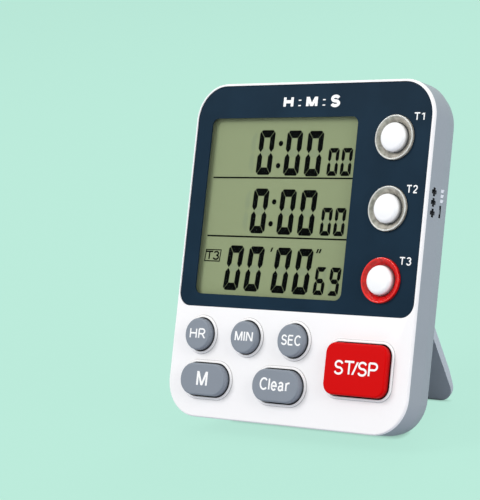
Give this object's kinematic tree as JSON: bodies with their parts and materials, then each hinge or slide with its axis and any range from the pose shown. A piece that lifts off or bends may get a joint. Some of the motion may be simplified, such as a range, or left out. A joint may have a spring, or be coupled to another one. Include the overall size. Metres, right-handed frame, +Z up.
{
  "type": "lab timer",
  "caption": "Bench timer with a three-row display, six function keys, lit channel buttons, a battery bay and a fold-out rear stand.",
  "frame": {"origin": "centre of the bounding box on the table under the timer, as it stands on its rear edge and the stand", "axes": "+Z up, +X to the right seen from the front, the face looks towards -Y and leans back"},
  "size_m": [0.0776, 0.0477, 0.0891],
  "materials": {
    "white_cover": "smooth moulded ABS",
    "navy_film": "printed polycarbonate film",
    "clear_window": "clear acrylic",
    "lcd": "polarised display glass",
    "reflector": "satin film",
    "white_plastic": "moulded",
    "zebra": "silicone",
    "clear_ring": "clear light pipe",
    "lit_ring": "clear light pipe lit red",
    "white_button": "polished",
    "grey_key": "fine matt",
    "red_key": "fine matt",
    "board": "solder mask",
    "black_plastic": "moulded",
    "led": "clear lens",
    "steel": "zinc plated",
    "nickel": "nickel plated",
    "grey_shell": "fine matt",
    "dark_plastic": "moulded",
    "cell_sleeve": "printed sleeve"
  },
  "bodies": {
    "case": {"front_cover": "white_cover", "face_panel": "navy_film", "display_window": "clear_window", "lcd_glass": "lcd", "lcd_reflector": "reflector", "lcd_frame": "white_plastic", "zebra_strip_upper": "zebra", "zebra_strip_lower": "zebra", "light_ring_1": "clear_ring", "light_ring_2": "clear_ring", "light_ring_3": "lit_ring", "main_board": "board", "tact_switches": "black_plastic", "indicator_leds": "led", "controller_chip": "black_plastic", "crystal": "steel", "buzzer": "black_plastic", "board_screws": "steel", "mode_switch_body": "steel", "rear_shell": "grey_shell", "case_screws": "steel", "positive_contact": "nickel", "negative_contact": "nickel", "bridge_contact": "nickel", "cell_upper": "cell_sleeve", "cell_lower": "cell_sleeve"},
    "hour_key": {"hour_key": "grey_key", "hour_plunger": "black_plastic"},
    "minute_key": {"minute_key": "grey_key", "minute_plunger": "black_plastic"},
    "second_key": {"second_key": "grey_key", "second_plunger": "black_plastic"},
    "memory_key": {"memory_key": "grey_key", "memory_plunger": "black_plastic"},
    "clear_key": {"clear_key": "grey_key", "clear_plunger": "black_plastic"},
    "start_stop_key": {"start_stop_key": "red_key", "start_stop_plunger": "black_plastic"},
    "channel_button_1": {"channel_button_1": "white_button", "channel_plunger_1": "black_plastic"},
    "channel_button_2": {"channel_button_2": "white_button", "channel_plunger_2": "black_plastic"},
    "channel_button_3": {"channel_button_3": "white_button", "channel_plunger_3": "black_plastic"},
    "mode_slider": {"mode_switch_slider": "dark_plastic"},
    "battery_door": {"battery_door": "grey_shell"},
    "stand": {"stand": "grey_shell"}
  },
  "joints": [
    {"name": "hour_key_press", "type": "slide", "parent": "case", "child": "hour_key", "axis": [0, 0.9335, -0.3586], "range_m": [0, 0.0005], "stiffness_N_per_m": 3000, "springref_m": -0.0002},
    {"name": "minute_key_press", "type": "slide", "parent": "case", "child": "minute_key", "axis": [0, 0.9335, -0.3586], "range_m": [0, 0.0005], "stiffness_N_per_m": 3000, "springref_m": -0.0002},
    {"name": "second_key_press", "type": "slide", "parent": "case", "child": "second_key", "axis": [0, 0.9335, -0.3586], "range_m": [0, 0.0005], "stiffness_N_per_m": 3000, "springref_m": -0.0002},
    {"name": "memory_key_press", "type": "slide", "parent": "case", "child": "memory_key", "axis": [0, 0.9335, -0.3586], "range_m": [0, 0.0005], "stiffness_N_per_m": 3000, "springref_m": -0.0002},
    {"name": "clear_key_press", "type": "slide", "parent": "case", "child": "clear_key", "axis": [0, 0.9335, -0.3586], "range_m": [0, 0.0005], "stiffness_N_per_m": 3000, "springref_m": -0.0002},
    {"name": "start_stop_key_press", "type": "slide", "parent": "case", "child": "start_stop_key", "axis": [0, 0.9335, -0.3586], "range_m": [0, 0.0005], "stiffness_N_per_m": 3000, "springref_m": -0.0002},
    {"name": "channel_button_1_press", "type": "slide", "parent": "case", "child": "channel_button_1", "axis": [0, 0.9335, -0.3586], "range_m": [0, 0.0005], "stiffness_N_per_m": 3000, "springref_m": -0.0002},
    {"name": "channel_button_2_press", "type": "slide", "parent": "case", "child": "channel_button_2", "axis": [0, 0.9335, -0.3586], "range_m": [0, 0.0005], "stiffness_N_per_m": 3000, "springref_m": -0.0002},
    {"name": "channel_button_3_press", "type": "slide", "parent": "case", "child": "channel_button_3", "axis": [0, 0.9335, -0.3586], "range_m": [0, 0.0005], "stiffness_N_per_m": 3000, "springref_m": -0.0002},
    {"name": "mode_slide", "type": "slide", "parent": "case", "child": "mode_slider", "axis": [0, 0.3586, 0.9335], "range_m": [-0.0009, 0.0009]},
    {"name": "battery_door_hinge", "type": "hinge", "parent": "case", "child": "battery_door", "pos_m": [0, 0.01359, 0.04723], "axis": [-1, 0, 0], "range_deg": [0, 60]},
    {"name": "stand_hinge", "type": "hinge", "parent": "case", "child": "stand", "pos_m": [0, 0.00865, 0.03884], "axis": [1, 0, 0], "range_deg": [-40.3, 0]}
  ]
}
